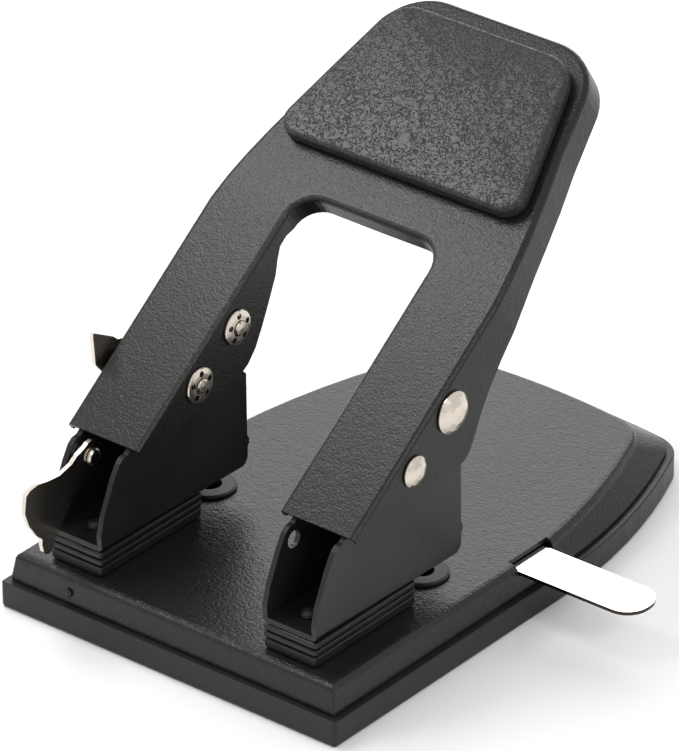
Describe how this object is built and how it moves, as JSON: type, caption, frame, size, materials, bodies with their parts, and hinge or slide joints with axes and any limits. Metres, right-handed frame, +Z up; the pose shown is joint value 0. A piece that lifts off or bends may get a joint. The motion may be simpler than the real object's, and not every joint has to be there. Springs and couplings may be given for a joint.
{
  "type": "hole punch",
  "caption": "Desktop paper punch with a padded arch handle on twin steel towers, a D-shaped paper table, a sliding paper guide and a handle lock.",
  "frame": {"origin": "on the resting plane, halfway between the two punches", "axes": "+X to the right of the punch seen from its open front, +Y towards the rounded paper table, +Z up"},
  "size_m": [0.1429, 0.1727, 0.1298],
  "materials": {
    "wrinkle_paint": "fine wrinkle black enamel, semi-gloss",
    "satin_paint": "smooth satin black enamel",
    "cover_plastic": "smooth satin black",
    "pad_vinyl": "leather-grained soft vinyl, black",
    "nickel": "bright nickel plate",
    "chrome": "bright chrome plate",
    "zinc": "zinc plate",
    "tool_steel": "ground tool steel",
    "blackened_steel": "oil-blackened steel"
  },
  "bodies": {
    "base": {"base_plate": "wrinkle_paint", "left_die": "blackened_steel", "left_spacer_lower": "satin_paint", "left_spacer_middle": "satin_paint", "left_spacer_upper": "satin_paint", "left_bracket": "satin_paint", "left_front_screw": "blackened_steel", "left_front_nut": "zinc", "left_rear_screw": "blackened_steel", "left_rear_nut": "zinc", "left_punch_guide": "zinc", "left_return_spring": "zinc", "right_die": "blackened_steel", "right_spacer_lower": "satin_paint", "right_spacer_middle": "satin_paint", "right_spacer_upper": "satin_paint", "right_bracket": "satin_paint", "right_front_screw": "blackened_steel", "right_front_nut": "zinc", "right_rear_screw": "blackened_steel", "right_rear_nut": "zinc", "right_punch_guide": "zinc", "right_return_spring": "zinc", "lock_rivet": "nickel", "front_rivet": "nickel", "guide_channel": "zinc"},
    "handle": {"handle": "wrinkle_paint", "handle_pad": "pad_vinyl", "left_pivot_pin": "nickel", "left_drive_pin": "nickel", "left_pivot_washer": "nickel", "left_drive_washer": "nickel", "right_pivot_pin": "nickel", "right_drive_pin": "nickel", "right_pivot_washer": "nickel", "right_drive_washer": "nickel"},
    "left_punch": {"left_punch": "tool_steel"},
    "right_punch": {"right_punch": "tool_steel"},
    "lock_lever": {"lock_lever": "chrome"},
    "lock_tab": {"lock_tab": "chrome"},
    "paper_guide": {"paper_guide": "chrome"},
    "bottom_cover": {"bottom_cover": "cover_plastic"}
  },
  "joints": [
    {"name": "handle_hinge", "type": "hinge", "parent": "base", "child": "handle", "pos_m": [0, -0.0174, 0.0574], "axis": [-1, 0, 0], "range_deg": [0, 32], "stiffness_Nm_per_rad": 1.2, "springref_deg": -17.19},
    {"name": "left_punch_slide", "type": "slide", "parent": "base", "child": "left_punch", "axis": [0, 0, -1], "range_m": [0, 0.00955], "deforming": ["left_return_spring"]},
    {"name": "right_punch_slide", "type": "slide", "parent": "base", "child": "right_punch", "axis": [0, 0, -1], "range_m": [0, 0.00955], "deforming": ["right_return_spring"]},
    {"name": "lock_lever_hinge", "type": "hinge", "parent": "base", "child": "lock_lever", "pos_m": [-0.0389, -0.0414, 0.0421], "axis": [-1, 0, 0], "range_deg": [0, 50]},
    {"name": "lock_tab_hinge", "type": "hinge", "parent": "base", "child": "lock_tab", "pos_m": [-0.04855, -0.0174, 0.0574], "axis": [-1, 0, 0], "range_deg": [0, 30]},
    {"name": "paper_guide_slide", "type": "slide", "parent": "base", "child": "paper_guide", "axis": [1, 0, 0], "range_m": [-0.036, 0.004]},
    {"name": "bottom_cover_lift_off", "type": "slide", "parent": "base", "child": "bottom_cover", "axis": [0, 0, -1], "range_m": [0, 0.025]}
  ],
  "couplings": [
    {"joint": "left_punch_slide", "follows": "handle_hinge", "m_per_rad": 0.01708},
    {"joint": "right_punch_slide", "follows": "handle_hinge", "m_per_rad": 0.01708}
  ]
}
